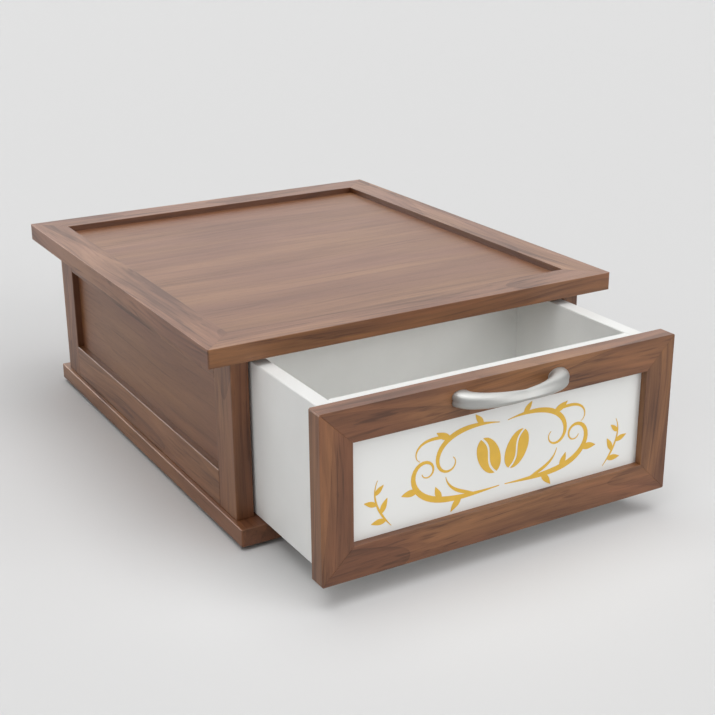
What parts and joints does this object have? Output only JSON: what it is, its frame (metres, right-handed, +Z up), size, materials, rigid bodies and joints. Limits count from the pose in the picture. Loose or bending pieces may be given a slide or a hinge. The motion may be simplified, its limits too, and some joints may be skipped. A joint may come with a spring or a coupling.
{
  "type": "coffee pod drawer",
  "caption": "Low walnut case with framed sides and a tray top, holding one white drawer with a framed front panel and a metal bow handle.",
  "frame": {"origin": "centre of the footprint of the whole object, on the plane of the feet's undersides, with the drawer part open as modelled", "axes": "+Z up; -Y is the front, towards which the drawer opens; +X to the right as one faces the front"},
  "size_m": [0.3, 0.4492, 0.135],
  "materials": {
    "walnut_frame": "oiled walnut, grain along each piece",
    "walnut_panel": "oiled walnut panel",
    "walnut_board": "oiled walnut board",
    "rubber_foot": "matt black rubber",
    "beech_dowel": "plain beech",
    "zinc_screw": "zinc-plated steel",
    "satin_nickel": "satin nickel",
    "white_inset": "white satin lacquer with a plain gold ornament",
    "white_lacquer": "white satin lacquer"
  },
  "bodies": {
    "case": {"top_panel": "walnut_panel", "top_rim_front": "walnut_frame", "top_rim_back": "walnut_frame", "top_rim_left": "walnut_frame", "top_rim_right": "walnut_frame", "left_panel": "walnut_panel", "left_front_stile": "walnut_frame", "left_rear_stile": "walnut_frame", "left_top_rail": "walnut_frame", "left_bottom_rail": "walnut_frame", "right_panel": "walnut_panel", "right_front_stile": "walnut_frame", "right_rear_stile": "walnut_frame", "right_top_rail": "walnut_frame", "right_bottom_rail": "walnut_frame", "back_panel": "walnut_board", "base_board": "walnut_board", "feet": "rubber_foot", "top_dowels": "beech_dowel", "back_dowels": "beech_dowel", "base_screws": "zinc_screw"},
    "drawer": {"drawer_left_side": "white_lacquer", "drawer_right_side": "white_lacquer", "drawer_back": "white_lacquer", "drawer_box_front": "white_lacquer", "drawer_bottom": "white_lacquer", "drawer_divider": "white_lacquer", "drawer_dowels": "beech_dowel", "front_top_rail": "walnut_frame", "front_bottom_rail": "walnut_frame", "front_left_stile": "walnut_frame", "front_right_stile": "walnut_frame", "front_inset_panel": "white_inset", "front_screws": "zinc_screw", "handle": "satin_nickel", "handle_screws": "zinc_screw"}
  },
  "joints": [
    {"name": "drawer_slide", "type": "slide", "parent": "case", "child": "drawer", "axis": [0, -1, 0], "range_m": [-0.089, 0.13]}
  ]
}
